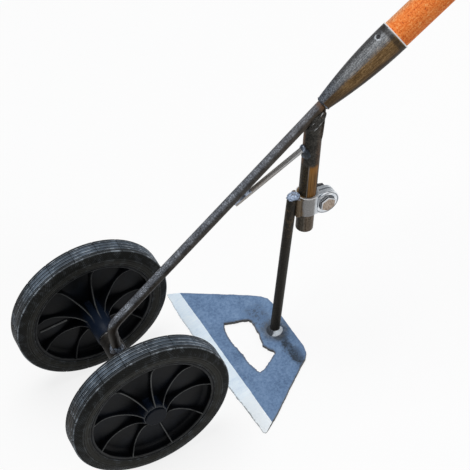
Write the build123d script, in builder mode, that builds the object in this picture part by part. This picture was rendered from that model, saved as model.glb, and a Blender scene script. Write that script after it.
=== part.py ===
from build123d import *
import os
from math import cos, hypot, radians, sin, sqrt, tan

# Double wheel hoe, in millimetres. X runs along the axle, Y from the wheels back to the handle, Z up.
# The ground is Z = 0. The origin is on the ground, under the middle of the whole hoe.

# Wheels
tyre_radius = 89.0
tyre_width = 27.0
tread_width = 19.0
tread_groove_width = 1.6
tread_groove_depth = 1.2
tread_grooves = 3
sidewall_height = 12.0
half_track = 75.5
rim_radius = 70.0
rim_thickness = 3.0
rim_width = 24.0
web_thickness = 4.0
rib_count = 9
rib_thickness = 2.2
rib_turn = 30.0
outer_rib_edge = ((20.0, 11.0), (30.0, 6.8), (42.0, 5.0), (55.0, 6.4))
inner_rib_edge = ((20.0, 13.6), (30.0, 8.5), (42.0, 5.0), (55.0, 6.0))
inner_rib_start = 21.5
hub_radius = 13.0
hub_outer_reach = 17.0
boss_end_radius = 12.0
hub_recess_radius = 10.6
hub_recess_floor = 4.0
hub_cap_thickness = 2.4
hub_cap_radius = 12.0
hub_cap_skirt = 5.0
hub_cap_wall = 1.4
hub_cap_round = 1.0
mark_length = 34.5
mark_width = 2.4
mark_height = 1.0
mark_radius = 46.3
mark_turn = 90.0

# Axle
axle_radius = 6.0
axle_tube_radius = 11.0
axle_tube_length = 48.0
axle_end_reach = 12.0
hub_sleeve_wall = 1.5
washer_thickness = 1.5
washer_radius = 10.0
clip_thickness = 3.0
clip_radius = 9.4

# Main bar
bar_radius = 5.5
bar_bend_rise = 47.5
bar_bend_radius = 20.0
bar_slope = 33.7
bar_length = 322.0
bar_spigot = 20.0
spigot_bend_radius = 24.0
foot_weld_radius = 10.0
foot_weld_height = 18.5

# Handle socket and pole
socket_slope = 29.0
socket_length = 97.4
socket_mouth_radius = 16.5
socket_root_radius = 7.6
socket_wall = 1.6
socket_weld_radius = 1.5
nail_inset = 14.0
nail_radius = 1.6
nail_head_radius = 2.4
nail_head_height = 1.0
nail_length = 16.0
handle_length = 900.0
handle_radius = 15.6
handle_taper = 62.0
handle_round = 7.0

# Post and brace
post_radius = 9.5
post_tilt = 9.0
post_inset = 12.6
post_length = 160.0
post_chamfer = 2.0
post_cut_drop = 3.5
post_weld_radius = 2.2
post_weld_drop = 8.0
post_weld_turn = 62.0
post_weld_points = 7
brace_radius = 3.0
brace_reach = 125.4
brace_top_drop = 38.0
brace_weld_radius = 4.4
brace_bead_length = 22.0

# Clamp
collar_height = 24.8
collar_wall = 3.0
collar_place = 27.3
ear_radius = 14.2
ear_thickness = 5.0
ear_reach = 20.9
ear_drop = 5.5
ear_gap = 1.5
ear_round = 1.2
bolt_radius = 5.0
bolt_head_flats = 16.0
bolt_head_height = 5.6
bolt_end = 3.0
bolt_hole_radius = 5.5
bolt_chamfer = 0.8
nut_flats = 17.0
nut_height = 10.0
nut_turn = 15.0

# Shank and blade
shank_radius = 5.5
shank_tilt = 11.4
shank_stand_up = 0.6
shank_weld_radius = 3.4
shank_bead_radius = 3.2
blade_thickness = 4.0
blade_front_width = 238.0
blade_rear_width = 97.0
blade_front_reach = 82.8
blade_rear_reach = 17.5
blade_corner_radius = 17.0
blade_tip_radius = 2.5
bevel_depth = 16.4
bevel_edge = 0.6
window_front_width = 82.0
window_rear_width = 57.0
window_front_reach = 47.0
window_rear_reach = 16.0
window_corner_radius = 3.0
window_front_corner = 1.5
foot_bead_radius = 9.5
foot_bead_height = 5.0

# Clearances
running_fit = 0.08
seat_fit = 0.05
side_play = 0.3
slide_fit = 0.1

# The lie of the mid-plane, as (Y, Z) points and angles from level
bar_angle = radians(bar_slope)
socket_angle = radians(socket_slope)
post_angle = radians(90.0 - post_tilt)
shank_angle = radians(90.0 - shank_tilt)
handle_free = handle_length - handle_taper
handle_reach = socket_length + handle_free
rear_reach = (
    bar_length * cos(bar_angle)
    + (handle_reach - handle_round) * cos(socket_angle)
    + (handle_radius - handle_round) * sin(socket_angle)
    + handle_round
)
axle_y = (tyre_radius - rear_reach) / 2
axle_z = tyre_radius


def step(point, angle, distance):
    """The (Y, Z) point at a distance from another, at an angle from level."""
    return (point[0] + distance * cos(angle), point[1] + distance * sin(angle))


def plane_along(point, angle):
    """A plane on a mid-plane point, whose normal leans at an angle from level and whose X is the axle's."""
    return Plane(origin=(0, point[0], point[1]), x_dir=(1, 0, 0), z_dir=(0, cos(angle), sin(angle)))


post_place = bar_length - post_inset
brace_place = post_place - brace_reach

bend = (axle_y, axle_z + bar_bend_rise)
socket_root = step(bend, bar_angle, bar_length)
post_top = step(bend, bar_angle, post_place)
post_foot = step(post_top, post_angle, -post_length)
collar_low = step(post_foot, post_angle, collar_place)
collar_mid = step(collar_low, post_angle, collar_height / 2)
collar_top = step(collar_low, post_angle, collar_height)
collar_bore = post_radius + slide_fit
collar_radius = collar_bore + collar_wall
square_to_post = post_angle - radians(90.0)
square_to_bar = bar_angle - radians(90.0)
shank_top = step(
    step(collar_top, square_to_post, -(collar_radius + shank_radius + seat_fit)), post_angle, shank_stand_up
)
shank_run = (shank_top[1] - blade_thickness) / sin(shank_angle)
shank_foot = step(shank_top, shank_angle, -shank_run)
brace_low = step(
    step(bend, bar_angle, brace_place), square_to_bar, bar_radius + brace_radius + seat_fit
)
brace_high = step(post_top, post_angle, -brace_top_drop)
brace_run = hypot(brace_high[0] - brace_low[0], brace_high[1] - brace_low[1])

axle_plane = Plane(origin=(0, axle_y, axle_z), x_dir=(1, 0, 0), z_dir=(0, -1, 0))
axle_line = Axis((0, axle_y, axle_z), (1, 0, 0))
hub_inner_end = axle_tube_length / 2 + washer_thickness + side_play
sleeve_radius = axle_radius + running_fit + hub_sleeve_wall
bar_plane = plane_along(bend, bar_angle)
socket_plane = plane_along(socket_root, socket_angle)
post_plane = plane_along(post_foot, post_angle)
collar_plane = plane_along(collar_low, post_angle)
ear_root = step(collar_mid, post_angle, -ear_drop)
ear_centre = step(ear_root, square_to_post, ear_reach)

os.makedirs("parts", exist_ok=True)


def finish(piece, name):
    """Labels a finished piece and writes it under its own name."""
    piece.part.label = name
    export_step(piece.part, f"parts/{name}.step")


def ring(inner, outer, low, high):
    """The half section of a ring about the axle, from one place along it to another."""
    with BuildSketch(axle_plane) as section:
        with Locations(((low + high) / 2, (inner + outer) / 2)):
            Rectangle(abs(high - low), outer - inner)
    return section.sketch


# Axle tube across the foot of the bar
with BuildPart() as axle_tube:
    tube_half = axle_tube_length / 2
    revolve(ring(axle_radius + seat_fit, axle_tube_radius, -tube_half, tube_half), axis=axle_line)
finish(axle_tube, "axle_tube")

# Axle rod, held by a push-on clip beyond each hub
axle_half_length = half_track + axle_end_reach
with BuildPart() as axle:
    revolve(ring(0, axle_radius, -axle_half_length, axle_half_length), axis=axle_line)
    chamfer(axle.edges().filter_by(GeomType.CIRCLE), clip_thickness / 4)
finish(axle, "axle")

# Thrust washers: one on each end of the tube and one in each hub recess
outer_washer = half_track + hub_recess_floor + side_play
with BuildPart() as axle_washers:
    for side in (1, -1):
        for start in (axle_tube_length / 2, outer_washer):
            end = start + washer_thickness
            revolve(ring(axle_radius + seat_fit, washer_radius, side * start, side * end), axis=axle_line)
finish(axle_washers, "axle_washers")

clip_start = outer_washer + washer_thickness
with BuildPart() as axle_clips:
    for side in (1, -1):
        clip_end = clip_start + clip_thickness
        revolve(ring(axle_radius + seat_fit, clip_radius, side * clip_start, side * clip_end), axis=axle_line)
finish(axle_clips, "axle_clips")


# Wheels
def wheel_center(side):
    """A moulded wheel centre: hub, web, rim band and ribs on both faces."""
    inner_reach = half_track - hub_inner_end
    rim_inside = rim_radius - rim_thickness
    hub_bore = sleeve_radius + seat_fit

    def at(reach, radius):
        return (side * (half_track + reach), radius)

    def turned(angle):
        return Plane(axle_plane.location * Location((0, 0, 0), (1, 0, 0), angle))

    rib_planes = [turned(rib_turn + rib * 360.0 / rib_count) for rib in range(rib_count)]
    faces = ((1, hub_outer_reach, outer_rib_edge), (-1, inner_rib_start, inner_rib_edge))
    with BuildPart() as center:
        with BuildSketch(axle_plane):
            with BuildLine():
                Polyline(
                    at(hub_recess_floor, hub_bore),
                    at(hub_recess_floor, hub_recess_radius),
                    at(hub_outer_reach, hub_recess_radius),
                    at(hub_outer_reach, hub_radius),
                    at(web_thickness / 2, hub_radius),
                    at(web_thickness / 2, rim_inside),
                    at(rim_width / 2, rim_inside),
                    at(rim_width / 2, rim_radius),
                    at(-rim_width / 2, rim_radius),
                    at(-rim_width / 2, rim_inside),
                    at(-web_thickness / 2, rim_inside),
                    at(-web_thickness / 2, hub_radius),
                    at(-hub_outer_reach, hub_radius),
                    at(-inner_reach, boss_end_radius),
                    at(-inner_reach, hub_bore),
                    close=True,
                )
            make_face()
        revolve(axis=axle_line)
        for face, hub_edge, rib_edge in faces:
            with BuildSketch(*rib_planes):
                with BuildLine():
                    Spline(
                        at(face * hub_edge, hub_radius - seat_fit),
                        *[at(face * reach, radius) for radius, reach in rib_edge],
                        at(face * rim_width / 2, rim_inside + seat_fit),
                    )
                    Polyline(
                        at(face * rim_width / 2, rim_inside + seat_fit),
                        at(0, rim_inside + seat_fit),
                        at(0, hub_radius - seat_fit),
                        at(face * hub_edge, hub_radius - seat_fit),
                    )
                make_face()
            extrude(amount=rib_thickness / 2, both=True)
        with BuildSketch(turned(mark_turn)):
            with Locations(at(-web_thickness / 2, mark_radius)):
                Rectangle(2 * mark_height, mark_length)
        extrude(amount=mark_width / 2, both=True)
    return center


def tyre(side):
    """A solid tyre: flat bore, rounded sidewalls and a grooved tread."""
    bore = rim_radius + seat_fit
    shoulder = bore + sidewall_height
    groove_pitch = tread_width / (tread_grooves + 1)

    def at(reach, radius):
        return (side * half_track + reach, radius)

    with BuildPart() as rubber:
        with BuildSketch(axle_plane):
            with BuildLine():
                Line(at(-rim_width / 2, bore), at(rim_width / 2, bore))
                ThreePointArc(
                    at(rim_width / 2, bore),
                    at(tyre_width / 2, (bore + shoulder) / 2),
                    at(tyre_width / 2 - tread_groove_depth, shoulder),
                )
                Line(at(tyre_width / 2 - tread_groove_depth, shoulder), at(tread_width / 2, tyre_radius))
                Line(at(tread_width / 2, tyre_radius), at(-tread_width / 2, tyre_radius))
                Line(at(-tread_width / 2, tyre_radius), at(tread_groove_depth - tyre_width / 2, shoulder))
                ThreePointArc(
                    at(tread_groove_depth - tyre_width / 2, shoulder),
                    at(-tyre_width / 2, (bore + shoulder) / 2),
                    at(-rim_width / 2, bore),
                )
            make_face()
            with Locations(at(0, tyre_radius)):
                with GridLocations(groove_pitch, 0, tread_grooves, 1):
                    Rectangle(tread_groove_width, 2 * tread_groove_depth, mode=Mode.SUBTRACT)
        revolve(axis=axle_line)
    return rubber


def hub_sleeve(side):
    """The plain bearing pressed into a hub, which runs on the axle."""
    inner_end = side * hub_inner_end
    outer_end = side * (half_track + hub_recess_floor)
    with BuildPart() as sleeve:
        revolve(ring(axle_radius + running_fit, sleeve_radius, inner_end, outer_end), axis=axle_line)
    return sleeve


def hub_cap(side):
    """The plug that closes a hub recess: a rounded disc with a thin skirt."""
    face = half_track + hub_outer_reach
    skirt_radius = hub_recess_radius - seat_fit
    with BuildPart() as cap:
        revolve(ring(0, hub_cap_radius, side * face, side * (face + hub_cap_thickness)), axis=axle_line)
        outer = cap.edges().filter_by(GeomType.CIRCLE).sort_by(Axis.X)
        fillet(outer[-1] if side > 0 else outer[0], hub_cap_round)
        skirt_end = side * (face - hub_cap_skirt)
        revolve(ring(skirt_radius - hub_cap_wall, skirt_radius, skirt_end, side * face), axis=axle_line)
    return cap


for side, hand in ((1, "right"), (-1, "left")):
    finish(wheel_center(side), f"wheel_center_{hand}")
    finish(tyre(side), f"tyre_{hand}")
    finish(hub_sleeve(side), f"hub_sleeve_{hand}")
    finish(hub_cap(side), f"hub_cap_{hand}")

# Main bar: up from the axle tube, over the bend, along the slope, and a short spigot in the socket
with BuildPart() as main_bar:
    with BuildLine(Plane.YZ) as bar_path:
        FilletPolyline(
            (axle_y, axle_z),
            bend,
            socket_root,
            step(socket_root, socket_angle, bar_spigot),
            radius=[bar_bend_radius, spigot_bend_radius],
        )
    with BuildSketch(Plane.XY.move(Location((0, axle_y, axle_z)))):
        Circle(bar_radius)
    sweep(path=bar_path.wires()[0])
    with Locations(axle_plane.location * Location((0, 0, 0), (0, 1, 0), 90)):
        Cylinder(axle_tube_radius, axle_tube_length, mode=Mode.SUBTRACT)
finish(main_bar, "main_bar")

with BuildPart() as axle_tube_weld:
    with Locations((0, axle_y, axle_z + foot_weld_height / 2)):
        Cone(foot_weld_radius, bar_radius + seat_fit, foot_weld_height)
    with Locations(axle_plane.location * Location((0, 0, 0), (0, 1, 0), 90)):
        Cylinder(axle_tube_radius, axle_tube_length, mode=Mode.SUBTRACT)
    add(main_bar.part, mode=Mode.SUBTRACT)
finish(axle_tube_weld, "axle_tube_weld")

# Socket: a rolled cone whose outside is one long arc, parallel to the pole at the mouth
socket_flare = socket_mouth_radius - socket_root_radius
socket_arc = (socket_length**2 + socket_flare**2) / (2 * socket_flare)


def socket_outside(place):
    """The socket's outer radius at a place along it from its root."""
    back = socket_length - place
    return socket_mouth_radius - socket_arc + sqrt(socket_arc**2 - back**2)


# The plane through the socket's axis that faces up, with the axis as its Y
socket_up = Plane(origin=socket_plane.origin, x_dir=(1, 0, 0), z_dir=socket_plane.y_dir * -1)
socket_line = Axis(socket_plane.origin, socket_plane.z_dir)


def socket_profile(low, high, inset):
    """The half section of the socket between two places, set in from its outside."""
    middle = (low + high) / 2
    with BuildSketch(socket_up) as section:
        with BuildLine():
            ThreePointArc(
                (socket_outside(low) - inset, low),
                (socket_outside(middle) - inset, middle),
                (socket_outside(high) - inset, high),
            )
            Polyline(
                (socket_outside(high) - inset, high),
                (0, high),
                (0, low),
                (socket_outside(low) - inset, low),
            )
        make_face()
    return section.sketch


nail_place = socket_length - nail_inset

with BuildPart() as handle_socket:
    revolve(socket_profile(0, socket_length, 0), axis=socket_line)
    revolve(socket_profile(0, socket_length, socket_wall), axis=socket_line, mode=Mode.SUBTRACT)
    with BuildSketch(socket_up):
        with Locations((0, nail_place)):
            Circle(nail_head_radius + seat_fit)
    extrude(amount=socket_mouth_radius, mode=Mode.SUBTRACT)
finish(handle_socket, "handle_socket")

# Weld ring: half a round bead on the end of the socket, cut to the bar
with BuildPart() as socket_weld:
    bead_middle = (bar_radius + socket_root_radius) / 2
    with BuildSketch(socket_up):
        with BuildLine():
            ThreePointArc(
                (bead_middle - socket_weld_radius, 0),
                (bead_middle, -socket_weld_radius),
                (bead_middle + socket_weld_radius, 0),
            )
            Line((bead_middle + socket_weld_radius, 0), (bead_middle - socket_weld_radius, 0))
        make_face()
    revolve(axis=socket_line)
    add(main_bar.part, mode=Mode.SUBTRACT)
finish(socket_weld, "socket_weld")

# Brad through the top of the socket into the pole
nail_seat = socket_outside(nail_place) - socket_wall
with BuildPart() as socket_nail:
    with BuildSketch(socket_up.offset(nail_seat)):
        with Locations((0, nail_place)):
            Circle(nail_head_radius)
    extrude(amount=nail_head_height)
    with BuildSketch(socket_up.offset(nail_seat)):
        with Locations((0, nail_place)):
            Circle(nail_radius)
    extrude(amount=-nail_length)
finish(socket_nail, "socket_nail")

# Pole: shaved down and tapered inside the socket, straight above it and rounded at its end
with BuildPart() as handle:
    taper_start = socket_length - handle_taper
    revolve(socket_profile(taper_start, socket_length, socket_wall + seat_fit), axis=socket_line)
    with BuildSketch(socket_plane.offset(taper_start)):
        Circle(handle_radius - side_play)
    extrude(amount=handle_taper, mode=Mode.INTERSECT)
    with BuildSketch(socket_plane.offset(socket_length)):
        Circle(handle_radius)
    extrude(amount=handle_free)
    tip = handle.edges().filter_by(GeomType.CIRCLE).sort_by(Axis.Y)[-1]
    fillet(tip, handle_round)
    add(socket_nail.part, mode=Mode.SUBTRACT)
finish(handle, "handle")

# Post: a round bar coped to the underside of the main bar
with BuildPart() as post:
    with BuildSketch(post_plane):
        Circle(post_radius)
    extrude(amount=post_length + post_radius)
    foot_edge = post.edges().filter_by(GeomType.CIRCLE).sort_by(Axis.Z)[0]
    chamfer(foot_edge, post_chamfer)
    cope = plane_along(step(post_top, square_to_bar, post_cut_drop), square_to_bar)
    split(bisect_by=cope, keep=Keep.TOP)
    with BuildSketch(bar_plane):
        Circle(bar_radius + seat_fit)
    extrude(amount=bar_length, mode=Mode.SUBTRACT)
finish(post, "post")

# Weld bead along the underside of the bar, on both sides of the post's skin
weld_height = post_length - post_weld_drop
weld_climb = tan(bar_angle - square_to_post)
weld_turns = [
    radians(post_weld_turn * (2 * place / (post_weld_points - 1) - 1)) for place in range(post_weld_points)
]
with BuildPart() as post_weld:
    for side in (1, -1):
        with BuildLine(post_plane) as bead_path:
            Spline(
                *[
                    (
                        side * post_radius * cos(turn),
                        post_radius * sin(turn),
                        weld_height + post_radius * sin(turn) * weld_climb,
                    )
                    for turn in weld_turns
                ]
            )
        bead_wire = bead_path.wires()[0]
        with BuildSketch(Plane(origin=bead_wire @ 0, z_dir=bead_wire % 0)):
            Circle(post_weld_radius)
        sweep(path=bead_wire)
    with BuildSketch(bar_plane):
        Circle(bar_radius + seat_fit)
    extrude(amount=bar_length, mode=Mode.SUBTRACT)
    add(post.part, mode=Mode.SUBTRACT)
finish(post_weld, "post_weld")

# Brace rod from the underside of the bar to the front of the post
brace_angle = radians(Vector(1, 0).get_angle(Vector(brace_high[0] - brace_low[0], brace_high[1] - brace_low[1])))
with BuildPart() as brace_rod:
    with BuildSketch(plane_along(brace_low, brace_angle)):
        Circle(brace_radius)
    extrude(amount=brace_run)
    with BuildSketch(post_plane):
        Circle(post_radius + seat_fit)
    extrude(amount=post_length, mode=Mode.SUBTRACT)
finish(brace_rod, "brace_rod")

with BuildPart() as brace_welds:
    brace_meets_post = step(brace_high, brace_angle, -post_radius / cos(brace_angle - square_to_post))
    with Locations((0, *brace_meets_post)):
        Sphere(brace_weld_radius)
    with BuildSketch(plane_along(step(brace_low, square_to_bar, -brace_radius), brace_angle)):
        Circle(brace_radius)
    extrude(amount=brace_bead_length)
    with BuildSketch(post_plane):
        Circle(post_radius + seat_fit)
    extrude(amount=post_length, mode=Mode.SUBTRACT)
    add(brace_rod.part, mode=Mode.SUBTRACT)
    with BuildSketch(bar_plane):
        Circle(bar_radius + seat_fit)
    extrude(amount=bar_length, mode=Mode.SUBTRACT)
finish(brace_welds, "brace_welds")

# Clamp collar: a ring round the post with two round ears behind it, split through the middle
ear_outside = ear_gap / 2 + ear_thickness
ear_plane = Plane(origin=(0, *ear_centre), x_dir=(0, *step((0, 0), post_angle, 1)), z_dir=(1, 0, 0))
with BuildPart() as clamp_collar:
    with BuildSketch(ear_plane):
        Circle(ear_radius)
        with Locations((0, ear_reach / 2)):
            Rectangle(2 * ear_radius, ear_reach)
    extrude(amount=ear_outside, both=True)
    fillet(clamp_collar.edges().filter_by(GeomType.CIRCLE), ear_round)
    with BuildSketch(collar_plane):
        Circle(collar_radius)
    extrude(amount=collar_height)
    with BuildSketch(post_plane):
        Circle(collar_bore)
    extrude(amount=post_length, mode=Mode.SUBTRACT)
    with BuildSketch(ear_plane):
        with Locations((0, -ear_radius)):
            Rectangle(2 * collar_height, 2 * (ear_reach + ear_radius))
    extrude(amount=ear_gap / 2, both=True, mode=Mode.SUBTRACT)
    with BuildSketch(ear_plane):
        Circle(bolt_hole_radius)
    extrude(amount=ear_outside, both=True, mode=Mode.SUBTRACT)
finish(clamp_collar, "clamp_collar")

# Bolt and nut across the ears, with the head on the right
with BuildPart() as clamp_nut:
    with BuildSketch(ear_plane.offset(-ear_outside)):
        RegularPolygon(nut_flats / 2, 6, major_radius=False, rotation=nut_turn)
    extrude(amount=-nut_height)
    chamfer(clamp_nut.faces().sort_by(Axis.X)[0].edges(), bolt_chamfer)
    with BuildSketch(ear_plane):
        Circle(bolt_radius + running_fit)
    extrude(amount=-(ear_outside + nut_height), mode=Mode.SUBTRACT)
finish(clamp_nut, "clamp_nut")

with BuildPart() as clamp_bolt:
    with BuildSketch(ear_plane.offset(ear_outside)):
        RegularPolygon(bolt_head_flats / 2, 6, major_radius=False)
    extrude(amount=bolt_head_height)
    chamfer(clamp_bolt.faces().sort_by(Axis.X)[-1].edges(), bolt_chamfer)
    with BuildSketch(ear_plane.offset(ear_outside)):
        Circle(bolt_radius)
    extrude(amount=-(2 * ear_outside + nut_height + bolt_end))
    chamfer(clamp_bolt.faces().sort_by(Axis.X)[0].edges(), bolt_chamfer)
finish(clamp_bolt, "clamp_bolt")

# Blade: a flat plate with a bevelled front, trimmed to a trapezium with a window
blade_front = shank_foot[0] - blade_front_reach
blade_rear = shank_foot[0] + blade_rear_reach


def trapezium(front, front_width, rear, rear_width, front_radius, rear_radius):
    """A trapezium symmetrical about the mid-plane, with rounded corners."""
    with BuildSketch() as outline:
        with BuildLine():
            Polyline(
                (-front_width / 2, front),
                (front_width / 2, front),
                (rear_width / 2, rear),
                (-rear_width / 2, rear),
                close=True,
            )
        make_face()
        fillet(outline.vertices().sort_by(Axis.Y)[-2:], rear_radius)
        fillet(outline.vertices().sort_by(Axis.Y)[:2], front_radius)
    return outline.sketch


with BuildPart() as blade:
    with BuildSketch(Plane.YZ):
        with BuildLine():
            Polyline(
                (blade_front, 0),
                (blade_rear, 0),
                (blade_rear, blade_thickness),
                (blade_front + bevel_depth, blade_thickness),
                (blade_front, bevel_edge),
                close=True,
            )
        make_face()
    extrude(amount=blade_front_width / 2, both=True)
    plan = trapezium(
        blade_front, blade_front_width, blade_rear, blade_rear_width, blade_tip_radius, blade_corner_radius
    )
    extrude(plan, amount=blade_thickness, mode=Mode.INTERSECT)
    window = trapezium(
        shank_foot[0] - window_front_reach,
        window_front_width,
        shank_foot[0] - window_rear_reach,
        window_rear_width,
        window_front_corner,
        window_corner_radius,
    )
    extrude(window, amount=blade_thickness, mode=Mode.SUBTRACT)
finish(blade, "blade")

# Shank: a round bar on the front of the collar, cut to stand on the blade
with BuildPart() as shank:
    with BuildSketch(plane_along(shank_top, shank_angle)):
        Circle(shank_radius)
    extrude(amount=-(shank_run + 2 * shank_radius))
    split(bisect_by=Plane.XY.offset(blade_thickness), keep=Keep.TOP)
finish(shank, "shank")

with BuildPart() as shank_weld:
    seam = collar_radius + seat_fit / 2
    with Locations((0, *step(collar_top, square_to_post, -seam))):
        Sphere(shank_weld_radius)
    for side in (1, -1):
        bead = step(collar_low, square_to_post, -seam)
        with BuildSketch(plane_along(bead, post_angle)):
            with Locations((side * shank_radius, 0)):
                Circle(shank_bead_radius)
        extrude(amount=collar_height)
    with BuildSketch(plane_along(collar_low, post_angle)):
        Circle(collar_radius + seat_fit)
    extrude(amount=collar_height, mode=Mode.SUBTRACT)
    with BuildSketch(post_plane):
        Circle(collar_radius - collar_wall / 2)
    extrude(amount=post_length, mode=Mode.SUBTRACT)
    add(shank.part, mode=Mode.SUBTRACT)
finish(shank_weld, "shank_weld")

with BuildPart() as blade_weld:
    with Locations((0, shank_foot[0], blade_thickness + foot_bead_height / 2)):
        Cone(foot_bead_radius, shank_radius, foot_bead_height)
    add(shank.part, mode=Mode.SUBTRACT)
finish(blade_weld, "blade_weld")
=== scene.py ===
from math import asin, ceil, cos, hypot, pi, radians, sin

import bmesh
import bpy
from mathutils import Matrix, Vector, geometry, noise


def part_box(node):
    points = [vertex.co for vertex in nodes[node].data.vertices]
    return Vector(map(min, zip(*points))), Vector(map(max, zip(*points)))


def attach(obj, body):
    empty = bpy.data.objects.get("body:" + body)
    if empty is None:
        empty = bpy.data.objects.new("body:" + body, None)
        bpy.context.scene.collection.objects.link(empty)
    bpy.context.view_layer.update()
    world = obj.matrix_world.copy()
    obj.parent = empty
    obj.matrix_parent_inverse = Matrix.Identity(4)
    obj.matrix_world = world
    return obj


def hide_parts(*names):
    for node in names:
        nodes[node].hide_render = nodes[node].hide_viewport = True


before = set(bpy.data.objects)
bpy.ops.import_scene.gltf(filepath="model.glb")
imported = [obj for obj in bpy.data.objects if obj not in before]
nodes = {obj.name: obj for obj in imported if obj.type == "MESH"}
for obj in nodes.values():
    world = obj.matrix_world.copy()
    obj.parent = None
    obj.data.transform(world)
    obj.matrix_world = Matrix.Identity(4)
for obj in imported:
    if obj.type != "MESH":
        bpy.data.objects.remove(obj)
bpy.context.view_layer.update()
scene = bpy.context.scene
MM = 0.001

# Places in the hoe's mid-plane: millimetres back from the axle, and millimetres above the ground
axle_low, axle_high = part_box("axle")
AXLE = (axle_low + axle_high) / 2
BAR_SLOPE = radians(33.7)
SOCKET_SLOPE = radians(29.0)
POST_SLOPE = radians(81.0)
SHANK_SLOPE = radians(78.6)
BEND = (0.0, 136.5)
SOCKET_ROOT = (267.888, 315.159)
POST_FOOT = (232.377, 150.139)
NAIL = (340.83, 355.59)
COLLAR_MID = (238.588, 189.350)
COLLAR_HALF = 12.4 * MM
EAR = (258.370, 180.648)
SHANK_FOOT = (182.160, 4.0)
BRACE_LOW = (157.83, 231.48)
BRACE_SLOPE = radians(22.7)

# Millimetres from the hoe's mid-plane to each wheel's own
HALF_TRACK = 75.5

ACROSS = Vector((1.0, 0.0, 0.0))
UP = Vector((0.0, 0.0, 1.0))


def spot(back, high, across=0.0):
    """A point in metres, from millimetres across, back from the axle and above the ground."""
    return Vector((across * MM, AXLE.y + back * MM, high * MM))


# Mesh helpers
def piece(name, verts, faces, body, replaces, material, smooth_angle=40.0):
    """Makes a mesh piece that rides on a body and stands for CAD nodes."""
    mesh = bpy.data.meshes.new(name)
    mesh.from_pydata([tuple(v) for v in verts], [], [tuple(f) for f in faces])
    obj = bpy.data.objects.new(name, mesh)
    scene.collection.objects.link(obj)
    mesh.materials.append(material)
    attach(obj, body)
    if replaces:
        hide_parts(*replaces)
    settle(mesh, smooth_angle)
    return obj


def settle(mesh, smooth_angle):
    """Turns the faces outwards and shades them smooth up to an angle."""
    tidy = bmesh.new()
    tidy.from_mesh(mesh)
    bmesh.ops.recalc_face_normals(tidy, faces=tidy.faces)
    tidy.to_mesh(mesh)
    tidy.free()
    for face in mesh.polygons:
        face.use_smooth = True
    mesh.set_sharp_from_angle(angle=radians(smooth_angle))


def grid_faces(rows, columns):
    """Quads over a grid of vertices that closes on itself both ways."""
    faces = []
    for i in range(rows):
        this, after = i * columns, (i + 1) % rows * columns
        for j in range(columns):
            beside = (j + 1) % columns
            faces.append((this + j, this + beside, after + beside, after + j))
    return faces


def store(mesh, name, values, domain):
    """Writes an attribute that the materials read."""
    made = mesh.attributes.new(name, "FLOAT", domain)
    made.data.foreach_set("value", values)


def rough(x, y, size, seed):
    """Even noise in -1 to 1 at a place, with bumps of about a size."""
    return noise.noise(Vector((x / size, y / size, seed)))


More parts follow.
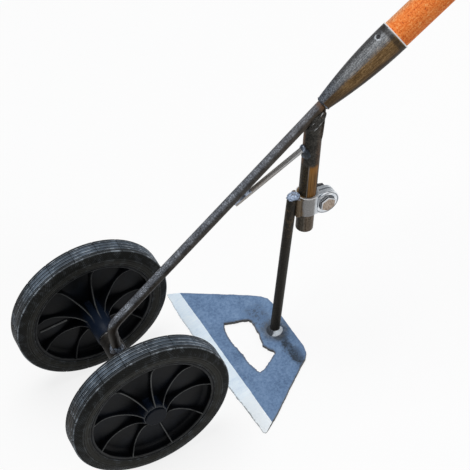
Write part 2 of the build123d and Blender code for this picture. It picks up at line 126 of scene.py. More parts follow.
# Material helper
class Graph:
    """Builds a material's nodes."""

    def __init__(self, name):
        self.material = bpy.data.materials.new(name)
        self.material.use_nodes = True
        self.tree = self.material.node_tree
        self.tree.nodes.clear()
        self.shader = self.node("BsdfPrincipled")
        self.output = self.node("OutputMaterial", self.shader.outputs[0])
        self.place = self.node("TexCoord").outputs["Object"]

    def node(self, kind, *inputs, **settings):
        """A node with its inputs in order, each a number, a colour or another node's output."""
        made = self.tree.nodes.new("ShaderNode" + kind)
        for key, value in settings.items():
            setattr(made, key, value)
        for socket, value in zip(made.inputs, inputs):
            self.put(socket, value)
        return made

    def put(self, socket, value):
        if isinstance(value, bpy.types.NodeSocket):
            self.tree.links.new(value, socket)
        elif value is not None:
            socket.default_value = (*value, 1.0) if socket.type == "RGBA" else value

    def fill(self, made, **values):
        """Fills a node's inputs by their names, with _ for a blank."""
        for key, value in values.items():
            self.put(made.inputs[key.replace("_", " ")], value)

    def math(self, operation, a, b=None, c=None):
        return self.node("Math", a, b, c, operation=operation).outputs[0]

    def times(self, a, b):
        return self.math("MULTIPLY", a, b)

    def length(self, a, b):
        """The length of a line with two legs."""
        squares = [self.math("POWER", leg, 2.0) for leg in (a, b)]
        return self.math("SQRT", self.math("ADD", *squares))

    def offset(self, point):
        """The shaded place as seen from a point."""
        return self.node("VectorMath", self.place, tuple(point), operation="SUBTRACT").outputs[0]

    def split(self, vector):
        return self.node("SeparateXYZ", vector).outputs

    def band(self, value, low, high):
        """0 below low, 1 above high, smooth between, or the other way round."""
        return self.node("MapRange", value, low, high, 0.0, 1.0, interpolation_type="SMOOTHSTEP").outputs[0]

    def between(self, value, low, rise, fall, high):
        """1 between rise and fall, 0 below low and above high."""
        return self.times(self.band(value, low, rise), self.band(value, high, fall))

    def arc(self, turn, *degrees):
        """The same between turns, given in degrees."""
        return self.between(turn, *map(radians, degrees))

    def past(self, turn, low, high):
        """0 below a turn in degrees, 1 above another."""
        return self.band(turn, radians(low), radians(high))

    def sum(self, *terms):
        """The sum of values by their shares."""
        total = 0.0
        for value, share in terms:
            total = self.math("MULTIPLY_ADD", value, share, total)
        return total

    def noise(self, vector, scale, detail, rough=0.55, twist=0.0):
        made = self.node("TexNoise")
        self.fill(made, Vector=vector, Scale=scale, Detail=detail, Roughness=rough, Distortion=twist)
        return made.outputs["Fac"]

    def spots(self, *settings):
        """Noise over the shaded place."""
        return self.noise(self.place, *settings)

    def brushed(self, scales, *settings):
        """Noise over the shaded place, drawn out by a scale for each direction."""
        place = self.node("VectorMath", self.place, scales, operation="MULTIPLY").outputs[0]
        return self.noise(place, 1.0, *settings)

    def drawn(self, values, scales, *settings):
        """Noise over up to three values, each with a scale of its own."""
        parts = map(self.times, values, scales)
        return self.noise(self.node("CombineXYZ", *parts).outputs[0], 1.0, *settings)

    def ramp(self, value, *stops):
        made = self.node("ValToRGB", value)
        ramp = made.color_ramp
        while len(ramp.elements) < len(stops):
            ramp.elements.new(0.5)
        for element, (place, colour) in zip(ramp.elements, stops):
            element.position = place
            element.color = (*colour, 1.0)
        return made.outputs["Color"]

    def mix(self, share, a, b):
        """A colour between a and b."""
        return self.node("Mix", share, *[None] * 5, a, b, data_type="RGBA").outputs[2]

    def tone(self, value, low, high, a, b):
        """Colour a where a value is below low, colour b above high."""
        return self.mix(self.band(value, low, high), a, b)

    def blend(self, share, a, b):
        """A number between a and b."""
        return self.node("Mix", share, None, a, b, data_type="FLOAT").outputs[0]

    def dot(self, vector, direction):
        return self.node("VectorMath", vector, direction, operation="DOT_PRODUCT").outputs["Value"]

    def lie(self, point, slope):
        """Metres along a line of the mid-plane, above it and across it, from a point on it."""
        moved = self.offset(spot(*point))
        along = self.dot(moved, (0.0, cos(slope), sin(slope)))
        above = self.dot(moved, (0.0, -sin(slope), cos(slope)))
        across = self.dot(moved, (1.0, 0.0, 0.0))
        return along, above, across

    def attribute(self, name):
        return self.node("Attribute", attribute_name=name).outputs["Fac"]

    def bump(self, height, distance, strength):
        made = self.node("Bump")
        self.fill(made, Strength=strength, Distance=distance, Height=height)
        return made.outputs[0]

    def finish(self, colour, roughness, metallic, relief, specular=None):
        """The material, with its roughness as a blend and its relief as a bump."""
        self.fill(
            self.shader, Base_Color=colour, Roughness=self.blend(*roughness), Metallic=metallic,
            Normal=self.bump(*relief), Specular_IOR_Level=specular,
        )
        return self.material


# Materials
def round_skin(g, point, slope):
    """Metres along a round piece, the turn about it from its upper side towards +X, and lengthwise streaks."""
    along, above, across = g.lie(point, slope)
    turn = g.math("ARCTAN2", across, above)
    streaks = g.drawn((turn, along), (7.0, 26.0), 6.0, 0.62, 0.3)
    return along, turn, streaks


def rubber():
    """Black rubber with dusty walls: a painted bluish sky reflection on the crown, painted brownish shade in front,
    a painted sheen ring on each wall, and painted highlights on the ridges.
    """
    g = Graph("tyre_rubber")
    across, back, high = g.split(g.offset(AXLE))
    radius = g.length(back, high)
    tread = g.band(radius, 0.0876, 0.0888)
    flat = g.between(radius, 0.0704, 0.0722, 0.0790, 0.0812)
    cloud = g.spots(38.0, 5.0, 0.6)
    fine = g.spots(900.0, 3.0, 0.6)
    rings = g.drawn((radius,), (1500.0,), 2.0, 0.5)
    dust_and_sheen = g.band(cloud, 0.40, 0.72)
    wall = g.mix(dust_and_sheen, (0.0046, 0.0044, 0.0029), (0.0094, 0.0088, 0.0060))
    # Painted lighter sheen ring on the flat of each wall, in fine rings.
    wall = g.mix(g.times(flat, g.blend(g.band(rings, 0.4, 0.6), 0.25, 0.7)), wall, (0.027, 0.026, 0.020))
    reach = g.math("ABSOLUTE", g.math("SUBTRACT", g.math("ABSOLUTE", across), HALF_TRACK * MM))
    # Painted bluish sky reflection on the tread's crown, in patches.
    top = g.mix(dust_and_sheen, (0.038, 0.049, 0.062), (0.132, 0.172, 0.222))
    # Painted brownish shade on the front and lower tread, over the sheen.
    front_shade = g.band(g.sum((back, 1.0), (high, 0.5)), -0.015, -0.075)
    top = g.mix(g.times(front_shade, g.blend(dust_and_sheen, 0.9, 0.6)), top, (0.058, 0.049, 0.039))
    # The painted sheen kept to the crown, darker towards the shoulders.
    top = g.tone(reach, 0.0100, 0.0036, (0.014, 0.014, 0.013), top)
    colour = g.mix(tread, wall, top)
    scuff = g.band(g.spots(160.0, 6.0, 0.7, 0.6), 0.66, 0.74)
    colour = g.mix(g.times(scuff, 0.2), colour, (0.085, 0.078, 0.064))
    # Painted bluish-white highlights on the edges that the attribute marks, in patches.
    highlight_patches = g.blend(g.band(g.spots(110.0, 5.0, 0.65), 0.46, 0.64), 0.22, 1.0)
    colour = g.mix(g.times(highlight_patches, g.attribute("edge_highlight")), colour, (0.480, 0.540, 0.605))
    height = g.sum((fine, 0.5), (rings, 0.5))
    return g.finish(colour, (cloud, 0.48, 0.64), 0.0, (height, 0.0002, 0.5), specular=0.12)


def moulded(name, base, sheen, rough_low, rough_high, blue):
    """Black moulded plastic, with a painted bluish sky reflection about the hub, and painted lighter highlights
    where its attribute says.
    """
    g = Graph(name)
    _, back, high = g.split(g.offset(AXLE))
    hub = g.band(g.length(back, high), 0.016, 0.0125)
    cloud = g.spots(45.0, 4.0, 0.55)
    fine = g.spots(1300.0, 2.0, 0.5)
    colour = g.tone(cloud, 0.4, 0.72, base, sheen)
    # Painted bluish sky reflection about the hub, by a share.
    colour = g.mix(g.times(hub, blue), colour, (0.0080, 0.0150, 0.0320))
    # Painted lighter highlights on the edges that the attribute marks, in patches.
    edge_highlight = g.times(g.attribute("edge_highlight"), g.band(g.spots(90.0, 3.0), 0.15, 0.58))
    colour = g.mix(edge_highlight, colour, (0.135, 0.138, 0.136))
    return g.finish(colour, (cloud, rough_low, rough_high), 0.0, (fine, 0.0001, 0.35), specular=0.09)


def bar_steel():
    """Hot-rolled bar: dark scale, a painted mottled blue-grey highlight along its upper side, painted brownish
    shade underneath, and brown near the socket.
    """
    g = Graph("dark_steel")
    along, turn, streaks = round_skin(g, BEND, BAR_SLOPE)
    blotch = g.spots(95.0, 6.0, 0.62)
    speck = g.drawn((turn, along), (3.2, 560.0), 5.0, 0.75)
    colour = g.tone(g.sum((blotch, 0.5), (speck, 0.5)), 0.38, 0.62, (0.016, 0.015, 0.014), (0.092, 0.090, 0.088))
    # Painted mottled blue-grey sky highlight along the upper side.
    upper = g.arc(turn, -44.0, -6.0, 32.0, 62.0)
    mottle = g.band(g.sum((speck, 0.65), (streaks, 0.35)), 0.38, 0.62)
    colour = g.mix(g.times(upper, g.blend(mottle, 0.10, 1.0)), colour, (0.215, 0.235, 0.275))
    # Painted bright highlight flecks on the upper side, most near the bend.
    highlight_flake = g.times(upper, g.band(g.sum((speck, 0.6), (blotch, 0.4)), 0.51, 0.61))
    colour = g.mix(g.times(highlight_flake, g.blend(g.band(along, 0.16, 0.05), 0.45, 0.95)), colour, (0.56, 0.61, 0.69))
    # Painted brownish shade on the underside.
    under = g.past(turn, 50.0, 96.0)
    colour = g.mix(g.times(under, g.blend(speck, 0.3, 1.0)), colour, (0.046, 0.034, 0.023))
    warm = g.times(g.band(along, 0.20, 0.31), g.band(streaks, 0.40, 0.60))
    colour = g.mix(g.times(warm, 0.35), colour, (0.135, 0.095, 0.062))
    heat = g.times(g.between(along, 0.3125, 0.3185, 0.335, 0.345), g.band(streaks, 0.34, 0.55))
    colour = g.mix(g.times(heat, 0.85), colour, (0.175, 0.088, 0.038))
    leg = g.times(g.band(along, 0.002, -0.010), g.blend(speck, 0.6, 0.9))
    colour = g.mix(leg, colour, (0.034, 0.028, 0.022))
    height = g.sum((streaks, 0.4), (speck, 0.6))
    return g.finish(colour, (speck, 0.40, 0.58), 0.2, (height, 0.0004, 0.6), specular=0.2)


def socket_steel():
    """Rolled sheet: painted shade on its left, a painted brushed grey highlight on top, a painted brown reflection
    on its right with painted shade at its lower edge, sooty at its root, and a painted shade band under the rim.
    """
    g = Graph("blue_steel")
    along, turn, streaks = round_skin(g, SOCKET_ROOT, SOCKET_SLOPE)
    blotch = g.spots(70.0, 6.0, 0.65)
    brush = g.drawn((turn, along), (11.0, 60.0), 6.0, 0.75, 0.2)
    speck = g.spots(620.0, 4.0, 0.75)
    side = g.sum((turn, 1.0), (streaks, 0.7), (speck, 0.5))
    # Painted brown reflection on the right side.
    brown_reflection_side = g.past(side, 60.0, 86.0)
    # Painted shade on the left edge, a painted grey highlight on top.
    dark = g.tone(speck, 0.36, 0.64, (0.030, 0.029, 0.029), (0.095, 0.094, 0.096))
    grey = g.ramp(
        g.sum((brush, 0.5), (speck, 0.5)), (0.36, (0.042, 0.045, 0.053)), (0.50, (0.190, 0.198, 0.206)),
        (0.62, (0.460, 0.475, 0.490)),
    )
    brown = g.ramp(
        g.sum((brush, 0.6), (speck, 0.4)), (0.34, (0.036, 0.020, 0.008)), (0.50, (0.165, 0.094, 0.036)),
        (0.64, (0.400, 0.255, 0.115)),
    )
    colour = g.mix(g.past(side, 14.0, 48.0), dark, grey)
    colour = g.mix(brown_reflection_side, colour, brown)
    # Painted dark shade at the underside edge.
    colour = g.mix(g.past(side, 112.0, 140.0), colour, (0.030, 0.018, 0.009))
    root = g.times(g.band(along, 0.040, 0.004), g.blend(blotch, 0.5, 1.0))
    soot = g.tone(speck, 0.42, 0.60, (0.020, 0.023, 0.030), (0.135, 0.165, 0.215))
    # Soot on the right side takes the painted brown reflection too.
    soot = g.mix(brown_reflection_side, soot, (0.050, 0.034, 0.020))
    colour = g.mix(g.times(root, 0.9), colour, soot)
    shade = g.between(along, 0.0885, 0.0915, 0.0948, 0.0958)
    colour = g.mix(g.times(shade, 0.7), colour, (0.024, 0.019, 0.014))
    nail = g.lie(NAIL, SOCKET_SLOPE)
    spread = g.length(nail[0], nail[2])
    burr = g.times(g.between(spread, 0.0022, 0.0028, 0.0036, 0.0052), g.band(speck, 0.40, 0.56))
    burr = g.times(g.times(burr, g.band(nail[1], 0.0, 0.004)), g.band(nail[0], 0.0020, -0.0015))
    colour = g.mix(g.times(burr, 0.85), colour, (0.62, 0.66, 0.70))
    height = g.sum((brush, 0.5), (speck, 0.5))
    return g.finish(colour, (speck, 0.38, 0.54), 0.2, (height, 0.0004, 0.6), specular=0.15)


def bright_scratches(g, low, high):
    """Thin bare lines along the main bar's direction, where noise passes a share."""
    lines = g.drawn(g.lie(BEND, BAR_SLOPE), (62.0, 640.0, 260.0), 2.0, 0.5)
    return g.band(lines, low, high)


def post_steel():
    """Round bar: charcoal above; below, painted shade on its front, a painted amber reflection with a painted glow
    and one painted bright line, and painted shade at its rear edge; sooty at its foot.
    """
    g = Graph("brown_steel")
    along, turn, streaks = round_skin(g, POST_FOOT, POST_SLOPE)
    blotch = g.spots(120.0, 6.0, 0.65)
    speck = g.spots(620.0, 5.0, 0.72)
    lines = g.drawn((turn, along), (9.0, 18.0), 5.0, 0.7)
    edge = g.math("ADD", turn, g.times(g.math("SUBTRACT", streaks, 0.5), 0.45))
    charcoal = g.tone(g.sum((blotch, 0.4), (speck, 0.6)), 0.40, 0.66, (0.018, 0.017, 0.014), (0.092, 0.085, 0.075))
    rusty = g.tone(speck, 0.4, 0.62, (0.032, 0.018, 0.009), (0.165, 0.082, 0.034))
    right = g.times(g.past(edge, 78.0, 108.0), g.blend(g.band(along, 0.134, 0.110), 0.25, 0.7))
    sooty = g.mix(right, charcoal, rusty)
    left = g.times(g.arc(edge, -70.0, -30.0, -4.0, 16.0), g.band(along, 0.146, 0.132))
    orange = g.tone(speck, 0.4, 0.62, (0.060, 0.028, 0.011), (0.290, 0.125, 0.042))
    sooty = g.mix(g.times(left, 0.85), sooty, orange)
    bare = g.times(bright_scratches(g, 0.620, 0.665), g.arc(turn, 38.0, 50.0, 98.0, 112.0))
    bare = g.times(bare, g.band(along, 0.137, 0.146))
    sooty = g.mix(g.times(bare, 0.85), sooty, (0.62, 0.63, 0.64))
    # Painted amber reflection on the side.
    amber = g.ramp(
        lines, (0.34, (0.062, 0.026, 0.006)), (0.50, (0.190, 0.088, 0.020)), (0.66, (0.360, 0.185, 0.056)),
    )
    # Painted shade on the front.
    front = g.tone(speck, 0.38, 0.66, (0.012, 0.011, 0.008), (0.080, 0.056, 0.027))
    lower_light_and_shade = g.mix(g.past(edge, 50.0, 60.0), front, amber)
    # Painted orange glow highlight.
    glow = g.times(g.between(along, 0.080, 0.090, 0.097, 0.102), g.past(edge, 58.0, 70.0))
    lower_light_and_shade = g.mix(g.times(glow, 0.7), lower_light_and_shade, (0.330, 0.140, 0.026))
    # Painted shade at the rear edge.
    lower_light_and_shade = g.mix(g.past(edge, 114.0, 134.0), lower_light_and_shade, (0.030, 0.018, 0.008))
    glint = g.arc(turn, 49.5, 52.5, 54.5, 58.0)
    lower_light_and_shade = g.mix(g.times(glint, g.blend(g.band(streaks, 0.4, 0.6), 0.25, 0.6)), lower_light_and_shade, (0.34, 0.34, 0.34))
    low = g.band(g.sum((along, 1.0), (blotch, 0.008)), 0.1015, 0.0955)
    colour = g.mix(low, sooty, lower_light_and_shade)
    foot = g.tone(g.sum((speck, 0.6), (lines, 0.4)), 0.38, 0.62, (0.028, 0.021, 0.014), (0.210, 0.182, 0.145))
    colour = g.mix(g.times(g.band(along, 0.030, 0.022), 0.85), colour, foot)
    height = g.sum((streaks, 0.4), (speck, 0.6))
    return g.finish(colour, (speck, 0.40, 0.58), 0.1, (height, 0.0004, 0.6), specular=0.12)


def shank_steel():
    """Dark bar under oil, with fine scale, and a bright lumpy end painted bluish as a highlight."""
    g = Graph("brown_steel_shank")
    along, turn, _ = round_skin(g, SHANK_FOOT, SHANK_SLOPE)
    blotch = g.spots(130.0, 6.0, 0.65)
    speck = g.drawn((turn, along), (3.4, 620.0), 5.0, 0.75)
    colour = g.tone(speck, 0.36, 0.66, (0.009, 0.008, 0.006), (0.040, 0.034, 0.026))
    brown = g.times(g.band(blotch, 0.46, 0.66), g.band(along, 0.12, 0.19))
    colour = g.mix(g.times(brown, g.band(speck, 0.36, 0.60)), colour, (0.125, 0.082, 0.042))
    # Painted bluish highlight on the bright top end.
    end = g.band(along, 0.2036, 0.2048)
    colour = g.mix(end, colour, g.tone(speck, 0.35, 0.65, (0.13, 0.18, 0.26), (0.34, 0.41, 0.52)))
    return g.finish(colour, (speck, 0.42, 0.6), 0.15, (speck, 0.0004, 0.6), specular=0.16)


def brace_steel():
    """Drawn rod: grey with bright lines, browned by heat towards the bar and blued towards the post."""
    g = Graph("dark_steel_brace")
    along, turn, streaks = round_skin(g, BRACE_LOW, BRACE_SLOPE)
    speck = g.spots(800.0, 4.0, 0.65)
    lines = g.drawn((turn, along), (5.2, 18.0), 5.0, 0.6)
    colour = g.tone(lines, 0.42, 0.60, (0.130, 0.124, 0.116), (0.520, 0.512, 0.500))
    shine = g.arc(turn, 58.0, 66.0, 76.0, 86.0)
    colour = g.mix(g.times(shine, g.blend(streaks, 0.4, 1.0)), colour, (0.72, 0.73, 0.75))
    heat = g.times(g.band(along, 0.075, 0.030), g.band(streaks, 0.38, 0.6))
    colour = g.mix(g.times(heat, 0.8), colour, (0.330, 0.265, 0.205))
    blued = g.times(g.band(along, 0.075, 0.11), g.band(speck, 0.40, 0.60))
    colour = g.mix(g.times(blued, 0.7), colour, (0.110, 0.145, 0.205))
    return g.finish(colour, (speck, 0.3, 0.46), 0.35, (lines, 0.0002, 0.4), specular=0.3)


def weld_metal(name, dull, bright, share, lit_side=None):
    """Rough weld: dark scale with bare bright spots over a share of it, or gathered on one side of a place as a
    painted highlight.
    """
    g = Graph(name)
    blotch = g.spots(240.0, 4.0, 0.6)
    speck = g.spots(1300.0, 3.0, 0.65)
    colour = g.tone(speck, 0.35, 0.65, dull, tuple(2.4 * part for part in dull))
    level = blotch
    # Given a side, the bright spots gather there as a painted highlight.
    if lit_side:
        place, direction, low, high = lit_side
        level = g.sum((blotch, 0.45), (g.band(g.dot(g.offset(place), direction), low * MM, high * MM), 0.42))
    bare = g.band(level, 0.66 - 0.36 * share, 0.78 - 0.36 * share)
    colour = g.mix(bare, colour, g.tone(speck, 0.3, 0.7, tuple(0.72 * part for part in bright), bright))
    return g.finish(colour, (speck, 0.32, 0.5), 0.25, (speck, 0.0003, 0.6), specular=0.3)


def scratched_weld():
    """The post's weld: dark scale with thin bare lines along the bar."""
    g = Graph("weld_metal_post")
    speck = g.spots(900.0, 4.0, 0.7)
    colour = g.tone(speck, 0.38, 0.64, (0.014, 0.013, 0.011), (0.066, 0.062, 0.056))
    colour = g.mix(bright_scratches(g, 0.625, 0.675), colour, (0.60, 0.61, 0.62))
    return g.finish(colour, (speck, 0.36, 0.54), 0.2, (speck, 0.0003, 0.6), specular=0.25)


def zinc():
    """Zinc on the clamp, with a painted bright highlight at its rim, a painted brownish reflection in front and
    painted shade round the bolt's head.
    """
    g = Graph("zinc")
    along, above, across = g.lie(COLLAR_MID, POST_SLOPE)
    cloud = g.spots(85.0, 5.0, 0.6)
    speck = g.spots(900.0, 3.0, 0.6)
    colour = g.ramp(cloud, (0.3, (0.48, 0.51, 0.55)), (0.5, (0.64, 0.68, 0.72)), (0.7, (0.84, 0.87, 0.91)))
    turn = g.sum((g.math("ARCTAN2", across, above), 1.0), (cloud, 0.7))
    grey = g.arc(turn, -80.0, -50.0, 112.0, 136.0)
    colour = g.mix(
        g.times(grey, 0.9), colour, g.tone(speck, 0.35, 0.65, (0.150, 0.142, 0.135), (0.270, 0.258, 0.248)),
    )
    # Painted brownish reflection on the front and left.
    gold_reflection = g.arc(turn, -80.0, -50.0, 53.0, 70.0)
    colour = g.mix(
        g.times(gold_reflection, 0.95), colour, g.tone(speck, 0.38, 0.62, (0.070, 0.044, 0.018), (0.300, 0.185, 0.076)),
    )
    # Painted bright highlight along the collar's rim edge.
    wide = g.length(above, across)
    rim = g.times(
        g.band(along, COLLAR_HALF - 0.0006, COLLAR_HALF - 0.0002), g.between(wide, 0.0112, 0.0117, 0.0140, 0.0145),
    )
    colour = g.mix(rim, colour, (0.90, 0.91, 0.92))
    # Painted shade round the bolt's head.
    ear = g.lie(EAR, POST_SLOPE)
    spread = g.length(ear[0], ear[1])
    head_shade = g.times(g.band(spread, 0.0108, 0.0098), g.band(across, 0.0052, 0.0056))
    colour = g.mix(g.times(head_shade, 0.85), colour, (0.045, 0.045, 0.050))
    return g.finish(colour, (speck, 0.28, 0.42), g.blend(grey, 0.85, 0.3), (speck, 0.0001, 0.4))


def plated(name, low, high, rough_low, metal):
    """Plain metal, mottled between two colours."""
    g = Graph(name)
    cloud = g.spots(160.0, 5.0, 0.6)
    speck = g.spots(1100.0, 3.0, 0.6)
    colour = g.tone(g.sum((cloud, 0.5), (speck, 0.5)), 0.38, 0.64, low, high)
    return g.finish(colour, (speck, rough_low, rough_low + 0.16), metal, (speck, 0.00015, 0.5), specular=0.3)


def washer():
    """Bright zinc with a painted dark shade line round it inside its rim."""
    g = Graph("washer_zinc")
    along, above, _ = g.lie(EAR, POST_SLOPE)
    spread = g.length(along, above)
    cloud = g.spots(160.0, 5.0, 0.6)
    speck = g.spots(1100.0, 3.0, 0.6)
    colour = g.tone(g.sum((cloud, 0.6), (speck, 0.4)), 0.38, 0.62, (0.60, 0.64, 0.69), (0.95, 0.97, 0.99))
    # Painted dark shade line standing for the gap inside the rim.
    line = g.between(spread, 0.0126, 0.0129, 0.0135, 0.0138)
    colour = g.mix(g.times(line, g.blend(g.band(cloud, 0.4, 0.6), 0.5, 0.95)), colour, (0.050, 0.052, 0.058))
    return g.finish(colour, (speck, 0.24, 0.38), 0.9, (speck, 0.00015, 0.5))


def bolt_head():
    """Bolt steel: a painted pinkish brown reflection on the head's face, a painted highlight on the corner round it
    and painted shade on its sides.
    """
    g = Graph("bolt_steel")
    reach = g.split(g.place)[0]
    speck = g.spots(1100.0, 3.0, 0.6)
    brushed = g.brushed((300.0, 1500.0, 300.0), 3.0, 0.6)
    # Painted pinkish brown reflection on the head's face.
    face = g.tone(brushed, 0.36, 0.62, (0.29, 0.200, 0.140), (0.60, 0.490, 0.400))
    # Painted shade on the sides, lighter grey below them.
    side = g.tone(speck, 0.4, 0.6, (0.018, 0.018, 0.020), (0.060, 0.058, 0.058))
    side = g.tone(reach, 0.0087, 0.0083, side, (0.52, 0.54, 0.57))
    # Painted bright highlight on the corner round the face.
    colour = g.tone(reach, 0.0099, 0.0102, side, (0.84, 0.85, 0.87))
    colour = g.tone(reach, 0.01125, 0.01132, colour, face)
    return g.finish(colour, (speck, 0.32, 0.48), 0.2, (speck, 0.00015, 0.5), specular=0.3)


def blade_steel():
    """Blue-grey plate painted as a sky reflection, a bright ground bevel painted pale blue-white as a sky
    reflection, a painted shade line along the cutting edge, scorched cut edges and soot beside the welded foot.
    """
    g = Graph("blade_steel")
    grind = g.brushed((900.0, 60.0, 60.0), 4.0, 0.6)
    cloud = g.spots(34.0, 6.0, 0.66)
    grain = g.spots(330.0, 5.0, 0.7)
    speck = g.spots(1000.0, 4.0, 0.65)
    # Painted blue-grey sky reflection on the plate.
    plate = g.ramp(
        g.sum((cloud, 0.38), (grain, 0.62)), (0.34, (0.078, 0.138, 0.250)), (0.50, (0.142, 0.235, 0.395)),
        (0.66, (0.215, 0.325, 0.500)),
    )
    plate = g.mix(g.times(g.band(speck, 0.60, 0.74), 0.55), plate, (0.34, 0.44, 0.58))
    across, back, _ = g.split(g.offset(spot(*SHANK_FOOT)))
    smoke = g.spots(120.0, 5.0, 0.7)
    row = g.sum((back, 1.0), (smoke, 0.022), (across, -0.06))
    stain = g.times(g.between(row, 0.002, 0.009, 0.013, 0.021), g.band(across, 0.004, 0.012))
    stain = g.times(stain, g.blend(g.band(g.sum((smoke, 0.5), (grain, 0.5)), 0.38, 0.58), 0.45, 0.95))
    plate = g.mix(stain, plate, (0.026, 0.036, 0.050))
    far = g.times(g.between(row, -0.008, 0.002, 0.012, 0.020), g.between(across, -0.048, -0.040, -0.010, -0.002))
    plate = g.mix(g.times(far, g.times(g.band(grain, 0.44, 0.60), 0.7)), plate, (0.040, 0.055, 0.082))
    heat = g.length(across, back)
    sooty = g.times(g.band(g.sum((heat, 1.0), (smoke, 0.012)), 0.0265, 0.0150), 0.75)
    plate = g.mix(sooty, plate, g.tone(grain, 0.4, 0.6, (0.034, 0.038, 0.044), (0.115, 0.120, 0.125)))
    scorch = g.times(g.attribute("scorch"), g.blend(g.band(grain, 0.38, 0.60), 0.35, 1.0))
    plate = g.mix(scorch, plate, (0.078, 0.070, 0.060))
    # The ground bevel is bright bare metal, its pale blue-white painted as a sky reflection, whiter towards the
    # near side.
    bright = g.ramp(
        g.sum((cloud, 0.5), (grind, 0.3), (speck, 0.2)), (0.36, (0.600, 0.720, 0.860)),
        (0.50, (0.760, 0.870, 0.965)), (0.62, (0.860, 0.930, 0.980)),
    )
    bright = g.mix(g.times(g.band(across, 0.030, 0.100), 0.7), bright, (0.95, 0.985, 1.0))
    ground = g.attribute("ground")
    # Painted dark shade line along the cutting edge.
    edge_shade = g.times(g.band(g.attribute("keen"), 0.915, 0.955), g.blend(g.band(across, -0.02, 0.02), 0.25, 0.8))
    bright = g.mix(g.times(edge_shade, g.band(grain, 0.36, 0.54)), bright, (0.10, 0.105, 0.11))
    colour = g.mix(ground, plate, bright)
    colour = g.mix(
        g.attribute("cut"), colour, g.tone(speck, 0.4, 0.62, (0.034, 0.036, 0.038), (0.120, 0.120, 0.122)),
    )
    shine = (ground, g.blend(speck, 0.42, 0.58), g.blend(grind, 0.36, 0.5))
    height = g.blend(ground, g.sum((speck, 0.5), (grain, 0.5)), grind)
    return g.finish(colour, shine, 0.15, (height, 0.0002, 0.45), specular=0.25)


def painted_wood():
    """Orange paint on rough wood, with dark and pale flecks, and a painted paler highlight along one side."""
    g = Graph("painted_wood")
    along, turn, streaks = round_skin(g, SOCKET_ROOT, SOCKET_SLOPE)
    fleck = g.drawn((turn, along), (5.5, 300.0), 6.0, 0.85, 0.4)
    grit = g.spots(700.0, 4.0, 0.75)
    cloud = g.spots(60.0, 4.0, 0.6)
    share = g.sum((streaks, 0.2), (fleck, 0.5), (grit, 0.3))
    colour = g.ramp(
        share, (0.38, (0.220, 0.028, 0.006)), (0.45, (0.760, 0.150, 0.022)), (0.52, (0.940, 0.250, 0.042)),
        (0.60, (0.970, 0.560, 0.220)),
    )
    # Painted paler highlight along one side, in flecks.
    pale = g.arc(g.sum((turn, 1.0), (fleck, -1.2)), -150.0, -105.0, -66.0, -30.0)
    colour = g.mix(g.times(pale, 0.75), colour, g.tone(grit, 0.42, 0.58, (0.50, 0.20, 0.09), (0.96, 0.58, 0.30)))
    colour = g.mix(g.times(g.band(cloud, 0.5, 0.75), 0.3), colour, (0.84, 0.22, 0.045))
    return g.finish(colour, (fleck, 0.5, 0.7), 0.0, (share, 0.0007, 0.7), specular=0.2)


RUBBER = rubber()
WHEEL = moulded("wheel_plastic", (0.0024, 0.0028, 0.0036), (0.0056, 0.0070, 0.0102), 0.36, 0.50, 0.8)
CAP = moulded("cap_plastic", (0.0012, 0.0018, 0.0027), (0.0028, 0.0040, 0.0060), 0.44, 0.56, 0.2)
BAR = bar_steel()
BRACE = brace_steel()
POST = post_steel()
SHANK = shank_steel()
SOCKET = socket_steel()
WELD = weld_metal("weld_metal", (0.024, 0.027, 0.034), (0.34, 0.41, 0.52), 0.42)
POST_WELD = scratched_weld()
FOOT_WELD = weld_metal(
    "weld_metal_foot", (0.050, 0.056, 0.066), (0.88, 0.94, 1.0), 0.80,
    (spot(*SHANK_FOOT), (0.9, 0.3, 0.0), 0.0, 7.0),
)
SHANK_WELD = weld_metal(
    "weld_metal_shank", (0.078, 0.054, 0.030), (0.40, 0.49, 0.65), 0.42,
    (spot(0.0, 200.0), (0.0, 0.0, 1.0), 1.0, 5.0),
)
BRACE_WELD = weld_metal("weld_metal_brace", (0.036, 0.044, 0.060), (0.56, 0.65, 0.80), 0.62)
SMEAR = weld_metal("weld_metal_smear", (0.018, 0.024, 0.030), (0.17, 0.22, 0.29), 0.34)
RIM_METAL = weld_metal("rim_metal", (0.38, 0.37, 0.36), (0.97, 0.97, 0.96), 1.0)
ZINC = zinc()
WASHER = washer()
BOLT = bolt_head()
TUBE = plated("dark_steel_tube", (0.005, 0.0045, 0.004), (0.022, 0.018, 0.014), 0.45, 0.1)
NUT = plated("nut_steel", (0.018, 0.018, 0.020), (0.072, 0.072, 0.078), 0.4, 0.3)
AXLE_STEEL = plated("axle_steel", (0.38, 0.38, 0.39), (0.56, 0.56, 0.57), 0.25, 0.8)
BRASS = plated("bush_brass", (0.48, 0.33, 0.12), (0.66, 0.48, 0.20), 0.28, 0.8)
BLADE = blade_steel()
WOOD = painted_wood()

# Finishes of the CAD nodes
for name, material in {
    "main_bar": BAR, "axle_tube": TUBE, "brace_rod": BRACE, "post": POST, "shank": SHANK, "handle_socket": SOCKET,
    "axle": AXLE_STEEL, "axle_washers": AXLE_STEEL, "axle_clips": AXLE_STEEL, "axle_tube_weld": WELD,
    "socket_weld": WELD, "post_weld": POST_WELD, "brace_welds": BRACE_WELD, "shank_weld": SHANK_WELD,
    "blade_weld": FOOT_WELD, "socket_nail": NUT, "handle": WOOD, "clamp_collar": ZINC, "clamp_bolt": BOLT,
    "clamp_nut": NUT, "blade": BLADE,
    "wheel_center_right": WHEEL, "wheel_center_left": WHEEL, "tyre_right": RUBBER, "tyre_left": RUBBER,
    "hub_sleeve_right": BRASS, "hub_sleeve_left": BRASS, "hub_cap_right": CAP, "hub_cap_left": CAP,
}.items():
    slots = nodes[name].data.materials
    slots.clear()
    slots.append(material)


